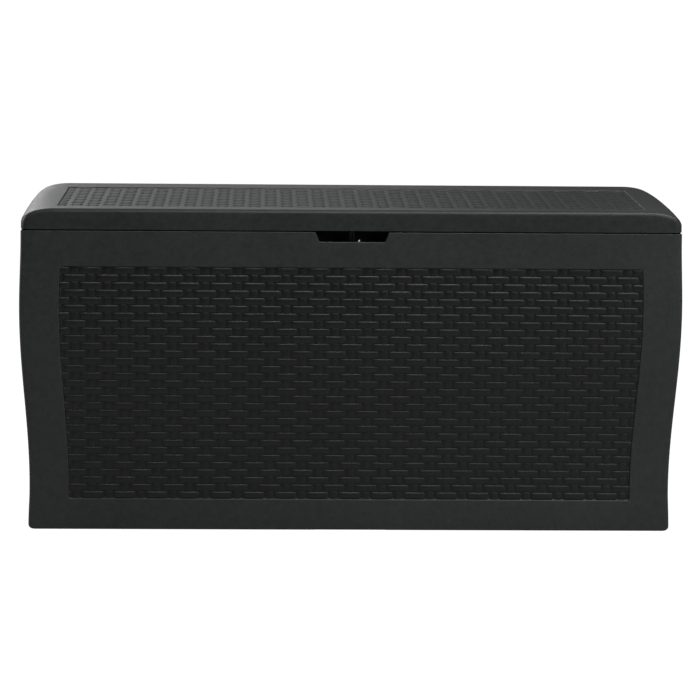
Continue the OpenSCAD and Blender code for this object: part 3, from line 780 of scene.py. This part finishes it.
BODY = plastic("charcoal_body",
               (0.0085, 0.0100, 0.0093), (0.0235, 0.0262, 0.0248), 0.52, 0.70, 0.30)
# the weave's look: a darker copy of the body plastic as painted shade, with a painted highlight on
# upward-facing edges
WEAVE_SHADE_AND_HIGHLIGHT = plastic("charcoal_weave_painted_shade_and_highlight",
                (0.0022, 0.0028, 0.0025), (0.0074, 0.0086, 0.0080), 0.44, 0.25, 0.27,
                (0.027, 0.030, 0.0285))
LID = plastic("charcoal_lid",
              (0.0085, 0.0100, 0.0093), (0.0235, 0.0262, 0.0248), 0.48, 0.70, 0.22)
BLACK = plastic("black_plastic",
                (0.0020, 0.0020, 0.0021), (0.0052, 0.0053, 0.0055), 0.55, 0.25, 0.20)
RUBBER = plastic("black_rubber",
                 (0.0040, 0.0040, 0.0040), (0.0080, 0.0080, 0.0080), 0.80, 0.35, 0.18)
STEEL = steel_material("zinc_steel", (0.20, 0.203, 0.21), (0.34, 0.343, 0.355))
# painted shade: a near-black copy of the steel for the tabs that sit in the shade of the finger
# notch
SHADED_TAB_STEEL = steel_material("tab_steel_painted_shade", (0.007, 0.007, 0.0075), (0.022, 0.0225, 0.024))

SLOT_LOOKS = {
    "body_plastic": BODY,
    "lid_plastic": LID,
    "black_plastic": BLACK,
    "black_rubber": RUBBER,
    "steel": STEEL,
}


# ---------------------------------------------------------------- pieces

def front_half(z):
    return HALF_W - inset(z) - FRONT_STILE


def side_half(z):
    return HALF_D - inset(z) - SIDE_STILE


def on_front(u, v, h):
    """The point over the front field's floor at a width, a height and a rise; the next two alike."""
    return (u, -(half_d(v) - FIELD_D + h), v)


def on_right(u, v, h):
    return (HALF_W - inset(v) - FIELD_D + h, u, v)


def on_lid(u, v, h):
    return (u, v, LID_Z1 - FIELD_D + h)


def lid_half(v):
    return LID_FIELD_X


def paint_field_floor_shade(piece, along, half):
    """Paints shade into the sunken field of a wall that runs along an axis: its floor gets the
    darker weave material, standing in for the shade between the strands.
    """
    piece.data.materials.append(WEAVE_SHADE_AND_HIGHLIGHT)
    wall = half_d if along == 0 else half_w
    for face in piece.data.polygons:
        centre = face.center * 1000
        depth = wall(centre.z) - abs(centre[1 - along])
        inside = abs(centre[along]) < half(centre.z) and FIELD_Z0 < centre.z < FIELD_Z1
        if inside and 2.0 < depth < 4.0:
            face.material_index = 1


front = make("front_panel_skin", front_panel(), BODY, "box", "body_plastic", "front_panel")
rear = make("rear_panel_skin", rear_panel(), BODY, "box", "body_plastic", "rear_panel")
side = side_panel()
right_side = make("right_panel_skin", side, BODY, "box", "body_plastic", "right_side_panel")
left_side = make(
    "left_panel_skin", side.mirrored(0), BODY, "box", "body_plastic", "left_side_panel")
make("lid_skin", lid_shell(), LID, "lid", "lid_plastic", "lid_shell")
# painted shade: the floors of the sunken fields take the darker weave material
paint_field_floor_shade(front, 0, front_half)
paint_field_floor_shade(rear, 0, front_half)
paint_field_floor_shade(right_side, 1, side_half)
paint_field_floor_shade(left_side, 1, side_half)

long_weave = weave(on_front, front_half, FIELD_Z0, FIELD_Z1, WALL_WEFT, WALL_WARP)
make("front_weave", long_weave, WEAVE_SHADE_AND_HIGHLIGHT, "box", "body_plastic")
make("rear_weave", long_weave.mirrored(1), WEAVE_SHADE_AND_HIGHLIGHT, "box", "body_plastic")
short_weave = weave(on_right, side_half, FIELD_Z0, FIELD_Z1, WALL_WEFT, WALL_WARP)
make("right_weave", short_weave, WEAVE_SHADE_AND_HIGHLIGHT, "box", "body_plastic")
make("left_weave", short_weave.mirrored(0), WEAVE_SHADE_AND_HIGHLIGHT, "box", "body_plastic")
lid_weave = weave(on_lid, lid_half, LID_FIELD_Y0, LID_FIELD_Y1, LID_WEFT, LID_WARP)
make("lid_weave", lid_weave, LID, "lid", "lid_plastic")

TABS = ("lock_tab", "hasp_tab")
for part in frame["record"]["subparts"]:
    obj = frame["nodes"][part["node"]]
    # the tabs take the painted-shade copy of the steel
    look = SHADED_TAB_STEEL if part["node"] in TABS else SLOT_LOOKS[part["material_slot"]]
    if not obj.material_slots:
        obj.data.materials.append(look)
    for holder in obj.material_slots:
        holder.material = look

# ---------------------------------------------------------------- floor, light and camera

scene = bpy.context.scene
scene.view_settings.view_transform = "Standard"

floor_mesh = bpy.data.meshes.new("floor")
floor_mesh.from_pydata([(-60, -60, 0), (60, -60, 0), (60, 60, 0), (-60, 60, 0)], [], [(0, 1, 2, 3)])
floor = bpy.data.objects.new("floor", floor_mesh)
scene.collection.objects.link(floor)
pale = bpy.data.materials.new("pale_floor")
pale.use_nodes = True
pale_nodes = pale.node_tree.nodes
pale_nodes["Principled BSDF"].inputs["Base Color"].default_value = (0.45, 0.45, 0.45, 1)
pale_nodes["Principled BSDF"].inputs["Roughness"].default_value = 0.9
pale_nodes["Principled BSDF"].inputs["Specular IOR Level"].default_value = 0.05
white = pale_nodes.new("ShaderNodeEmission")
white.inputs["Strength"].default_value = 1.16
seen = pale_nodes.new("ShaderNodeLightPath")
share = pale_nodes.new("ShaderNodeMath")
share.operation = "MULTIPLY"
share.inputs[1].default_value = 0.88
blend = pale_nodes.new("ShaderNodeMixShader")
pale.node_tree.links.new(seen.outputs["Is Camera Ray"], share.inputs[0])
pale.node_tree.links.new(share.outputs[0], blend.inputs["Fac"])
pale.node_tree.links.new(pale_nodes["Principled BSDF"].outputs[0], blend.inputs[1])
pale.node_tree.links.new(white.outputs[0], blend.inputs[2])
pale.node_tree.links.new(blend.outputs[0], pale_nodes["Material Output"].inputs["Surface"])
floor_mesh.materials.append(pale)

# a white room to look at, and a dimmer one for the light that it gives
world = bpy.data.worlds.new("studio")
scene.world = world
world.use_nodes = True
world_nodes = world.node_tree.nodes
world_nodes["Background"].inputs["Color"].default_value = (1, 1, 1, 1)
looked_at = world_nodes.new("ShaderNodeLightPath")
strength = world_nodes.new("ShaderNodeMapRange")
strength.inputs["To Min"].default_value = 0.12
strength.inputs["To Max"].default_value = 1.05
world.node_tree.links.new(looked_at.outputs["Is Camera Ray"], strength.inputs["Value"])
world.node_tree.links.new(strength.outputs["Result"], world_nodes["Background"].inputs["Strength"])


def softbox(name, place, aim, width, height, power):
    light = bpy.data.lights.new(name, "AREA")
    light.shape = "RECTANGLE"
    light.size = width
    light.size_y = height
    light.energy = power
    lamp = bpy.data.objects.new(name, light)
    scene.collection.objects.link(lamp)
    lamp.location = place
    lamp.rotation_euler = (Vector(aim) - Vector(place)).to_track_quat("-Z", "Y").to_euler()


softbox("above_front", (0.75, -0.85, 2.5), (0.1, -0.1, 0.35), 3.0, 0.45, 86)
softbox("back_left", (-1.5, 2.0, 1.35), (-0.2, 0.0, 0.57), 1.5, 0.6, 15)
softbox("above_back", (-1.0, 2.3, 1.9), (-0.3, 0.1, 0.55), 2.6, 0.9, 14)
softbox("left_end", (-2.7, 0.45, 1.15), (-0.5, 0, 0.5), 0.9, 0.8, 40)
softbox("right_front", (2.3, -2.4, 1.5), (0.3, -0.2, 0.35), 0.9, 1.1, 30)

camera_data = bpy.data.cameras.new("camera")
camera_data.sensor_width = 36.0
camera_data.lens = 154.29
camera_data.clip_end = 100.0
camera = bpy.data.objects.new("camera", camera_data)
scene.collection.objects.link(camera)
# the camera's turns, in radians
yaw = 0.0277843
pitch = 0.1583336
roll = 0.0094868
ahead = Vector((math.sin(yaw) * math.cos(pitch), math.cos(yaw) * math.cos(pitch), -math.sin(pitch)))
level = Vector((math.cos(yaw), -math.sin(yaw), 0.0))
above = level.cross(ahead)
right = math.cos(roll) * level + math.sin(roll) * above
up = -math.sin(roll) * level + math.cos(roll) * above
turn = Matrix((right, up, -ahead)).transposed().to_4x4()
camera.matrix_world = Matrix.Translation((-0.14752, -5.44987, 1.16440)) @ turn
scene.camera = camera
